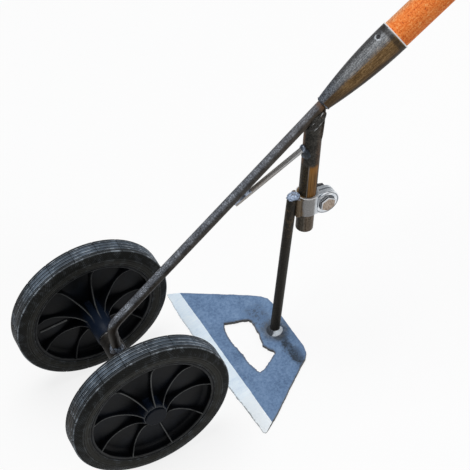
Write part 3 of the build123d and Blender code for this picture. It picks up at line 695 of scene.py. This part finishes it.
# Wheels, in millimetres from a wheel's own mid-plane and from the axle, with turns from the top towards the front
def on_wheel(side, reach, radius, turn):
    """A point in metres on a wheel, whose outer face looks away from the mid-plane."""
    return spot(-radius * sin(turn), AXLE.z / MM + radius * cos(turn), side * (HALF_TRACK + reach))


# Tyres: smooth sidewalls, knurled shoulders, and a tread of five ridges with cuts across
TYRE_COLUMNS = 720
TREAD_CUTS = 20
CUT_DEPTH = 0.8
KNURL_DEPTH = 0.45
# Share of painted highlight on the raised knurl points.
KNURL_HIGHLIGHT = 0.11
PLAIN, KNURL, RIDGE = range(3)
SIDEWALL = (
    (0.0, 70.05), (12.0, 70.05), (12.5, 70.5), (12.8, 71.2), (12.9, 72.3), (12.45, 72.8), (12.95, 73.3),
    (13.2, 75.3), (13.35, 77.5), (12.9, 78.05), (13.35, 78.6), (13.3, 79.5), (12.8, 79.95),
)
SHOULDER = ((13.05, 80.5), (12.75, 81.8), (12.35, 83.1), (11.9, 84.4), (11.35, 85.6), (10.75, 86.7), (10.2, 87.5))
OUTER_RIDGE = ((9.75, 88.1), (9.45, 88.7), (8.9, 89.0), (7.3, 89.0), (6.75, 88.75), (6.5, 88.3))
OUTER_GROOVE = ((6.3, 87.6), (5.8, 87.6))
MIDDLE_RIDGE = ((5.6, 88.3), (5.35, 88.75), (4.8, 89.0), (3.3, 89.0), (2.75, 88.75), (2.5, 88.3))
INNER_GROOVE = ((2.3, 87.6), (1.8, 87.6))
CENTRE_RIDGE = ((1.6, 88.3), (1.35, 88.75), (0.8, 89.0))
# Shares of painted highlight along the section's edges, by radius.
TYRE_HIGHLIGHT = {
    70.5: 0.24, 72.3: 0.10, 73.3: 0.10, 77.5: 0.08, 78.6: 0.08, 79.5: 0.14, 88.1: 0.5, 88.7: 0.9, 88.75: 0.9,
}


def tyre_section():
    """The section's points as (reach, radius, kind), once round."""
    half = []
    for points, kind in (
        (SIDEWALL, PLAIN), (SHOULDER, KNURL), (OUTER_RIDGE, RIDGE), (OUTER_GROOVE, PLAIN),
        (MIDDLE_RIDGE, RIDGE), (INNER_GROOVE, PLAIN), (CENTRE_RIDGE, RIDGE),
    ):
        half += [(*point, kind) for point in points]
    return half + [(-reach, radius, kind) for reach, radius, kind in reversed(half[1:])]


def tyre(side, hand, first_cut):
    section = tyre_section()
    spacing = TYRE_COLUMNS // TREAD_CUTS
    verts, edge_highlight = [], []
    for row, (reach, radius, kind) in enumerate(section):
        for column in range(TYRE_COLUMNS):
            out, high, highlight_share = reach, radius, TYRE_HIGHLIGHT.get(radius, 0.0)
            if kind == KNURL:
                highlight_share = KNURL_HIGHLIGHT
                if (row + column // 2) % 2:
                    out -= KNURL_DEPTH * (1 if reach > 0 else -1)
                    high -= KNURL_DEPTH
                    highlight_share = 0.0
            if kind == RIDGE and column % spacing == 0:
                high -= CUT_DEPTH
                highlight_share = 0.0
            verts.append(on_wheel(side, out, high, first_cut + column * 2 * pi / TYRE_COLUMNS))
            edge_highlight.append(highlight_share)
    faces = grid_faces(len(section), TYRE_COLUMNS)
    made = piece(
        f"tyre_{hand}_look", verts, faces, f"wheel_{hand}", [f"tyre_{hand}"], RUBBER,
        smooth_angle=38.0,
    )
    store(made.data, "edge_highlight", edge_highlight, "POINT")


# Wheel centres: hub, dished web, rim, nine rounded ribs a face, and a raised line on the inner web
RIB_COUNT = 9
RIB_TURN = radians(30.0)
RIB_HALF = 1.1
RIB_CROWN = ((0.0, 0.0), (0.45, 0.06), (0.8, 0.28), (1.0, 0.6), (1.1, 1.1))
# Shares of painted highlight across a rib's rounded crown.
RIB_HIGHLIGHT = {0.0: 1.0, 0.45: 0.55, 0.8: 0.05}
RIB_SKIRT = 1.16
INNER_FADE = 0.6
FADE_START, FADE_END = 24.0, 50.0
OUTER_RIB = ((13.0, 17.0), (20.0, 11.0), (30.0, 6.8), (42.0, 5.0), (55.0, 6.4), (67.0, 12.0))
INNER_RIB = ((13.0, 21.5), (20.0, 13.6), (30.0, 8.5), (42.0, 5.0), (55.0, 6.0), (67.0, 12.0))
RIB_START, RIB_END = 13.0, 67.0
WEB_HALF = 2.0
WEB_RADII = (14.5, 16.0, 18.0, 20.5, 23.0, 26.0, 28.9, 29.2, 33.0, 38.0, 43.0, 48.0, 53.0, 57.5, 60.9, 61.2)
OUTER_HUB = (
    (10.6, 4.0), (10.6, 16.7), (10.9, 17.0), (12.6, 17.0), (13.0, 16.6), (13.0, 12.0), (13.0, 7.0), (13.0, 2.6),
    (13.5, 2.0),
)
INNER_HUB = (
    (7.63, 49.7), (11.6, 49.7), (12.0, 49.3), (12.5, 33.0), (13.0, 17.0), (13.0, 10.0), (13.0, 2.6), (13.5, 2.0),
)
RIM = (
    (62.2, 2.05), (63.6, 2.35), (64.8, 2.95), (65.8, 3.9), (66.5, 5.1), (66.9, 6.6), (67.0, 8.2), (67.0, 10.2),
    (67.0, 11.6), (67.4, 12.0), (69.6, 12.0), (70.0, 11.6),
)
# Painted highlights on the edges of the hub, the inner boss and the rim.
EDGE_HIGHLIGHT = {(12.6, 17.0): 0.5, (13.0, 16.6): 0.35, (11.6, 49.7): 0.3, (67.0, 11.6): 0.4, (67.4, 12.0): 0.3}
LINE_HALF = 1.2
LINE_SKIRT = 1.28
LINE_HEIGHT = 1.0
LINE_START, LINE_END = 29.0, 61.0
LINE_SECTOR = 1
WEB_STEPS = 5


def along_curve(points, place):
    """A smooth curve through points whose first values rise, at a place among them."""
    last = len(points) - 2
    k = max(i for i in range(last + 1) if i == 0 or points[i][0] <= place)
    slopes = [
        (points[min(i + 1, last + 1)][1] - points[max(i - 1, 0)][1])
        / (points[min(i + 1, last + 1)][0] - points[max(i - 1, 0)][0])
        for i in (k, k + 1)
    ]
    width = points[k + 1][0] - points[k][0]
    t = (place - points[k][0]) / width
    a, b = points[k][1], points[k + 1][1]
    return (
        a * (1 + 2 * t) * (1 - t) ** 2 + slopes[0] * width * t * (1 - t) ** 2
        + b * t * t * (3 - 2 * t) + slopes[1] * width * t * t * (t - 1)
    )


def wheel_columns():
    """The columns of a wheel centre's grid: a middle turn, a share or an offset from it, the kind and the rib."""
    columns = []
    crown = [offset for offset, _ in RIB_CROWN] + [RIB_SKIRT]
    sector = 2 * pi / RIB_COUNT
    for rib in range(RIB_COUNT):
        middle = RIB_TURN + rib * sector
        for offset in [-value for value in reversed(crown[1:])] + crown:
            columns.append((middle, 0.0, offset, "rib", rib))
        for step in range(WEB_STEPS):
            columns.append((middle, step / WEB_STEPS, None, "web", rib))
        for offset in (-LINE_SKIRT, -LINE_HALF, LINE_HALF, LINE_SKIRT):
            columns.append((middle + sector / 2, 0.0, offset, "line", rib))
        for step in range(WEB_STEPS - 1, -1, -1):
            columns.append((middle + sector, -step / WEB_STEPS, None, "web", rib))
    return columns


def column_turn(column, radius):
    middle, share, offset, _, rib = column
    if offset is not None:
        return middle + asin(offset / radius)
    hand = 1 if share > 0 or middle < RIB_TURN + (rib + 0.5) * 2 * pi / RIB_COUNT else -1
    near = asin(2 * RIB_HALF / radius)
    far = pi / RIB_COUNT - asin(LINE_SKIRT / radius)
    return middle + hand * (near + (far - near) * abs(share))


def kept_highlight(radius):
    """What an inner rib keeps of its painted highlight at a radius."""
    share = (radius - FADE_START) / (FADE_END - FADE_START)
    return 1.0 - INNER_FADE * min(1.0, max(0.0, share))


def wheel_center(side, hand):
    web = [(radius, WEB_HALF) for radius in WEB_RADII]
    outer, inner = (
        [(face, radius, reach, edge) for radius, reach in (*hub, *web, *RIM)]
        for face, hub, edge in ((1, OUTER_HUB, OUTER_RIB), (-1, INNER_HUB, INNER_RIB))
    )
    rows = outer + inner[::-1]
    rows.append((1, INNER_HUB[0][0], OUTER_HUB[0][1], OUTER_RIB))
    columns = wheel_columns()
    drops = dict(RIB_CROWN)
    verts, edge_highlight = [], []
    for face, radius, reach, edge in rows:
        for column in columns:
            high, highlight_share = reach, EDGE_HIGHLIGHT.get((radius, reach), 0.0)
            offset, kind, rib = column[2:]
            if kind == "rib" and RIB_START <= radius <= RIB_END and abs(offset) in drops:
                top = along_curve(edge, radius) - drops[abs(offset)]
                if top > high:
                    high, highlight_share = top, RIB_HIGHLIGHT.get(abs(offset), 0.0)
                    if face < 0:
                        highlight_share *= kept_highlight(radius)
            # The raised line's top carries a full painted highlight.
            if kind == "line" and face < 0 and rib == LINE_SECTOR and LINE_START <= radius <= LINE_END:
                if abs(offset) == LINE_HALF:
                    high, highlight_share = reach + LINE_HEIGHT, 1.0
            verts.append(on_wheel(side, face * high, radius, column_turn(column, radius)))
            edge_highlight.append(highlight_share)
    faces = grid_faces(len(rows), len(columns))
    made = piece(
        f"wheel_center_{hand}_look", verts, faces, f"wheel_{hand}", [f"wheel_center_{hand}"],
        WHEEL, smooth_angle=45.0,
    )
    store(made.data, "edge_highlight", edge_highlight, "POINT")


for side, hand, first_cut in ((1, "right", radians(-8.0)), (-1, "left", radians(3.0))):
    tyre(side, hand, first_cut)
    wheel_center(side, hand)


# Blade: a ragged flame-cut plate, ground to a bevel in front, in millimetres across and back from the axle
BLADE_THICKNESS = 4.0
BLADE_EDGE = 0.6
OUTLINE_STEP = 1.3
SCORCH_WIDTH = 2.4
FRONT_EDGE = (
    (-115.9, 100.6), (-100.0, 99.8), (-80.0, 98.9), (-45.0, 99.8), (0.0, 100.4), (42.0, 101.2), (73.0, 103.6),
    (113.3, 106.1),
)
NEAR_SIDE = (
    (115.4, 108.2), (112.5, 113.6), (106.3, 123.0), (100.6, 131.2), (85.6, 149.7), (69.8, 169.9), (60.4, 182.0),
)
REAR_EDGE = (
    (53.2, 192.2), (46.5, 197.2), (37.0, 199.2), (4.0, 198.7), (-34.6, 198.9), (-44.5, 197.4), (-51.5, 192.2),
)
FAR_SIDE = ((-61.6, 179.8), (-93.9, 133.6), (-107.3, 114.6), (-115.2, 102.6))
WINDOW = (
    (-39.8, 137.4), (-29.6, 163.6), (-26.0, 165.8), (-13.9, 165.0), (-6.8, 164.4), (2.6, 162.4), (11.9, 160.6),
    (18.4, 162.8), (23.7, 166.6), (28.3, 167.4), (31.6, 162.8), (41.6, 147.0), (43.2, 139.8), (40.0, 138.6),
    (28.0, 135.4), (5.4, 134.6), (-8.0, 132.6), (-20.0, 132.4), (-33.0, 134.6),
)
BEVEL_LINE = (
    (-107.2, 113.8), (-84.7, 114.4), (-58.7, 115.6), (-22.3, 116.2), (14.0, 117.2), (56.9, 118.5), (108.6, 119.6),
)


def stepped(points, ragged, seed, closed=False):
    """Points along a line at even steps, pushed about by noise."""
    points = list(points)
    found = []
    for (ax, ay), (bx, by) in zip(points, points[1:] + points[:1] if closed else points[1:]):
        count = max(1, ceil(hypot(bx - ax, by - ay) / OUTLINE_STEP))
        found += [(ax + (bx - ax) * i / count, ay + (by - ay) * i / count) for i in range(count)]
    if not closed:
        found.append(points[-1])
    for share, size, shift in ((0.7, 9.0, 0.0), (0.5, 2.6, 2.0)):
        seeds = (seed + shift, seed + shift + 5.0)
        push = share * ragged
        found = [tuple(value + push * rough(x, y, size, k) for value, k in zip((x, y), seeds)) for x, y in found]
    return found


def shifted(points, gap, closed):
    """A line of points moved to its left by a gap."""
    moved = []
    for i, (x, y) in enumerate(points):
        ahead = points[(i + 1) % len(points)] if closed or i + 1 < len(points) else (x, y)
        behind = points[i - 1] if closed or i > 0 else (x, y)
        run, rise = ahead[0] - behind[0], ahead[1] - behind[1]
        moved.append((x - gap * rise / hypot(run, rise), y + gap * run / hypot(run, rise)))
    return moved


def line_at(line, x):
    """The second value of a line of points at a first value."""
    for (ax, ay), (bx, by) in zip(line, line[1:]):
        if x <= bx:
            break
    return ay + (by - ay) * (x - ax) / (bx - ax)


def inside(loop, x, y):
    """Whether a point lies in a closed loop."""
    found = False
    for (ax, ay), (bx, by) in zip(loop, loop[1:] + loop[:1]):
        if (ay > y) != (by > y) and x < ax + (bx - ax) * (y - ay) / (by - ay):
            found = not found
    return found


def blade():
    front = stepped(FRONT_EDGE, 0.7, 1.0)
    outer = front + stepped(NEAR_SIDE, 0.5, 2.0) + stepped(REAR_EDGE, 0.25, 3.0) + stepped(FAR_SIDE, 0.6, 4.0)
    window = stepped(WINDOW, 1.3, 6.0, True)
    bevel = stepped(BEVEL_LINE, 0.35, 8.0)
    cool = stepped(shifted(WINDOW, SCORCH_WIDTH, True), 0.3, 9.0, True)
    edge = NEAR_SIDE + REAR_EDGE + FAR_SIDE
    inner = stepped(shifted(edge, SCORCH_WIDTH, False)[1:-1], 0.3, 10.0)
    points, edges, burnt = [], [], []
    for loop, closed in ((outer, True), (window, True), (bevel, False), (cool, True), (inner, False)):
        start = len(points)
        points += loop
        burnt += [1.0 if loop is window else 0.3 if loop is outer else 0.0] * len(loop)
        edges += [(start + i, start + i + 1) for i in range(len(loop) - 1)]
        if closed:
            edges.append((len(points) - 1, start))
    flat, _, triangles, sources, *_ = geometry.delaunay_2d_cdt(
        [Vector(point) for point in points], edges, [], 0, 0.01,
    )
    flat = [tuple(point) for point in flat]
    scorch = [max((burnt[k] for k in source), default=0.0) for source in sources]
    keen = [1.0 if source and min(source) < len(front) else 0.0 for source in sources]
    kept = []
    for triangle in triangles:
        x = sum(flat[i][0] for i in triangle) / 3
        y = sum(flat[i][1] for i in triangle) / 3
        if inside(outer, x, y) and not inside(window, x, y):
            kept.append(tuple(triangle))

    def level(x, y):
        back = line_at(bevel, x)
        share = (y - line_at(front, x)) / (back - line_at(front, x))
        return BLADE_EDGE + (BLADE_THICKNESS - BLADE_EDGE) * min(max(share, 0.0), 1.0)

    verts = [spot(y, level(x, y), x) for x, y in flat] + [spot(y, 0.0, x) for x, y in flat]
    count = len(flat)
    faces = list(kept) + [tuple(count + i for i in reversed(face)) for face in kept]
    rim = {}
    for face in kept:
        for a, b in zip(face, face[1:] + face[:1]):
            rim[(a, b)] = (b, a) not in rim
            if (b, a) in rim:
                rim[(b, a)] = False
    faces += [(a, b, count + b, count + a) for (a, b), alone in rim.items() if alone]
    made = piece("blade_look", verts, faces, "blade_clamp", ["blade"], BLADE, smooth_angle=12.0)
    ground, cut = [], []
    for face in made.data.polygons:
        x, y = face.center.x / MM, (face.center.y - AXLE.y) / MM
        upper = face.normal.z > 0.5
        ground.append(1.0 if upper and y < line_at(bevel, x) else 0.0)
        cut.append(0.0 if abs(face.normal.z) > 0.5 else 1.0)
    store(made.data, "ground", ground, "FACE")
    store(made.data, "cut", cut, "FACE")
    store(made.data, "scorch", scorch + scorch, "POINT")
    store(made.data, "keen", keen + keen, "POINT")


blade()


# Rings: the bead at the socket's root, its bright rim, and the washer that the bolt's head sits in
RING_COLUMNS = 96
RIM_SECTION = (
    (96.2, 16.2), (96.35, 16.65), (96.7, 16.9), (97.4, 16.9), (97.75, 16.55), (97.8, 16.2), (97.8, 15.7),
    (97.0, 15.66), (96.4, 15.8),
)
BEAD_SECTION = (
    (3.4, 7.6), (1.6, 7.75), (0.2, 7.7), (-0.9, 7.3), (-1.7, 6.6), (-2.2, 5.9), (-1.6, 5.2), (0.0, 5.0), (1.8, 5.4),
)
WASHER_SECTION = (
    (5.76, 9.6), (5.76, 14.0), (6.2, 14.6), (7.0, 14.6), (7.3, 14.3), (7.3, 13.6), (6.8, 13.4), (6.8, 12.9),
    (7.3, 12.7), (7.3, 9.8), (7.1, 9.6),
)


def turned(name, centre, axis, up, section, body, slot, material, lump=0.0):
    """A ring about an axis through a point, from a closed section of (along, radius), with lumps of a height."""
    across = axis.cross(up)
    verts = []
    for along, radius in section:
        for column in range(RING_COLUMNS):
            turn = column * 2 * pi / RING_COLUMNS
            out = cos(turn) * up + sin(turn) * across
            place = along * axis + radius * out
            push = out * noise.noise(place / 2.6) + axis * noise.noise(place / 3.4)
            verts.append(centre + MM * (place + lump * push))
    return piece(name, verts, grid_faces(len(section), RING_COLUMNS), body, [], material)


def leaning(slope, turn=0.0):
    """The direction along a line of the mid-plane, and the one out of it at a turn about it."""
    out = Vector((sin(turn), -sin(slope) * cos(turn), cos(slope) * cos(turn)))
    return Vector((0.0, cos(slope), sin(slope))), out


turned("root_bead", spot(*SOCKET_ROOT), *leaning(SOCKET_SLOPE), BEAD_SECTION, "frame", "blue_steel", SOCKET, 0.45)
turned("socket_rim", spot(*SOCKET_ROOT), *leaning(SOCKET_SLOPE), RIM_SECTION, "frame", "blue_steel", RIM_METAL)
turned("head_washer", spot(*EAR), ACROSS, UP, WASHER_SECTION, "blade_clamp", "zinc", WASHER)


# Welds: lumps of bead beside the CAD's, and the CAD beads roughened
LARGE_LUMP = 0.24
SMALL_LUMP = 0.10


def mound(name, centre, along, out, radii, seed, body, material):
    """A lumpy blob, from its half sizes along a line, across it and outwards."""
    ball = bmesh.new()
    bmesh.ops.create_icosphere(ball, subdivisions=5, radius=1.0)
    across = out.cross(along)
    verts = []
    for vert in ball.verts:
        lump = 1.0 + LARGE_LUMP * noise.noise(vert.co * 1.8 + Vector((seed, 0.0, 0.0)))
        lump += SMALL_LUMP * noise.noise(vert.co * 5.0)
        share = vert.co * lump * MM
        verts.append(centre + along * share.x * radii[0] + across * share.y * radii[1] + out * share.z * radii[2])
    faces = [[vert.index for vert in face.verts] for face in ball.faces]
    ball.free()
    piece(name, verts, faces, body, [], material, smooth_angle=180.0)


BAR_WAY, BAR_UP = leaning(BAR_SLOPE)
FILLET_OUT = (0.9 * ACROSS + 0.44 * BAR_UP).normalized()
BRACE_SIDE = leaning(POST_SLOPE, radians(22.0))
POST_WAY, POST_OUT = leaning(POST_SLOPE, radians(152.0))
REAR_TILT = 0.05
REAR_WAY = (POST_WAY + REAR_TILT * POST_OUT).normalized()
REAR_OUT = (POST_OUT - REAR_TILT * POST_WAY).normalized()
REAR_MIDDLE = spot(*POST_FOOT) + MM * (142.0 * POST_WAY + 8.45 * POST_OUT)
mound("brace_bead", spot(241.0, 261.1, 3.6), *BRACE_SIDE, (7.4, 5.6, 1.1), 3.0, "frame", SMEAR)
mound("post_bead_near", spot(255.6, 300.9, 6.0), BAR_WAY, FILLET_OUT, (11.2, 5.0, 3.6), 11.0, "frame", POST_WELD)
mound("post_bead_rear", REAR_MIDDLE, REAR_WAY, REAR_OUT, (26.0, 5.6, 2.0), 13.0, "frame", POST)
mound("shank_bead", spot(223.2, 204.8, 0.4), *leaning(0.0), (6.6, 5.9, 2.0), 7.0, "blade_clamp", SHANK_WELD)

for name, size, bump, height in (
    ("axle_tube_weld", 0.5, 3.0, 1.2), ("socket_weld", 0.3, 2.6, 1.1), ("post_weld", 0.3, 3.0, 0.3),
    ("brace_welds", 0.35, 3.0, 0.9), ("shank_weld", 0.4, 3.4, 0.7), ("blade_weld", 0.4, 4.4, 0.9),
):
    lumps = bpy.data.textures.new("lumps_" + name, "CLOUDS")
    lumps.noise_scale = bump * MM
    lumps.noise_depth = 2
    fine = nodes[name].modifiers.new("fine", "REMESH")
    fine.mode = "VOXEL"
    fine.voxel_size = size * MM
    fine.use_smooth_shade = True
    lumpy = nodes[name].modifiers.new("lumpy", "DISPLACE")
    lumpy.texture = lumps
    lumpy.texture_coords = "LOCAL"
    lumpy.strength = height * MM
    lumpy.mid_level = 0.55

# Floor, world, lamps and camera
FLOOR_HALF = 30.0
FLOOR_DROP = 0.0005
FLOOR_GREY = 0.65
WHITE_SHARE = 0.75
WHITE_STRENGTH = 1.1
SKY_STRENGTH = 0.22


def floor_look():
    """White by a share to camera, glossy and transmission rays, and grey otherwise."""
    g = Graph("floor")
    path = g.node("LightPath").outputs
    seen = path["Is Camera Ray"]
    for other in ("Is Glossy Ray", "Is Transmission Ray"):
        seen = g.math("MAXIMUM", seen, path[other])
    grey = g.node("BsdfDiffuse", (FLOOR_GREY, FLOOR_GREY, FLOOR_GREY))
    white = g.node("Emission", (1.0, 1.0, 1.0), WHITE_STRENGTH)
    both = g.node("MixShader", g.times(seen, WHITE_SHARE), grey.outputs[0], white.outputs[0])
    g.tree.nodes.remove(g.shader)
    g.put(g.output.inputs[0], both.outputs[0])
    return g.material


corners = [(x * FLOOR_HALF, y * FLOOR_HALF, 0.0) for x, y in ((-1, -1), (1, -1), (1, 1), (-1, 1))]
floor_mesh = bpy.data.meshes.new("floor")
floor_mesh.from_pydata(corners, [], [(0, 1, 2, 3)])
floor_mesh.materials.append(floor_look())
floor = bpy.data.objects.new("floor", floor_mesh)
floor.location.z = -FLOOR_DROP
scene.collection.objects.link(floor)

world = bpy.data.worlds.new("studio")
scene.world = world
world.use_nodes = True
world_tree = world.node_tree
world_tree.nodes.clear()
sky = world_tree.nodes.new("ShaderNodeBackground")
sky.inputs["Color"].default_value = (0.93, 0.96, 1.0, 1.0)
sky.inputs["Strength"].default_value = SKY_STRENGTH
world_out = world_tree.nodes.new("ShaderNodeOutputWorld")
world_tree.links.new(sky.outputs[0], world_out.inputs[0])


def lamp(name, place, aim, size, power):
    data = bpy.data.lights.new(name, "AREA")
    data.shape = "DISK"
    data.size = size
    data.energy = power
    obj = bpy.data.objects.new(name, data)
    obj.location = place
    obj.rotation_euler = (Vector(aim) - Vector(place)).to_track_quat("-Z", "Y").to_euler()
    scene.collection.objects.link(obj)


middle = spot(200.0, 150.0)
lamp("key", middle + Vector((-0.4, -0.1, 2.7)), middle, 2.0, 54.0)
lamp("fill", middle + Vector((2.2, 0.4, 1.4)), middle, 1.6, 14.0)
lamp("back", middle + Vector((-0.6, 2.4, 1.4)), middle, 1.6, 10.0)

SENSOR_MM = 36.0
FOCAL_PIXELS = 1464.755
PICTURE_PIXELS = 470.0
CAMERA_PLACE = (0.946319, AXLE.y - 0.209040, 1.326747)
CAMERA_AXES = Matrix((
    (0.461983, -0.633559, 0.620624),
    (0.880759, 0.409873, -0.237209),
    (-0.104091, 0.656207, 0.747367),
))
camera_data = bpy.data.cameras.new("camera")
camera_data.sensor_width = SENSOR_MM
camera_data.lens = SENSOR_MM * FOCAL_PIXELS / PICTURE_PIXELS
camera_data.clip_start = 0.05
camera = bpy.data.objects.new("camera", camera_data)
camera.matrix_world = Matrix.Translation(CAMERA_PLACE) @ CAMERA_AXES.to_4x4()
scene.collection.objects.link(camera)
scene.camera = camera
scene.view_settings.view_transform = "Standard"
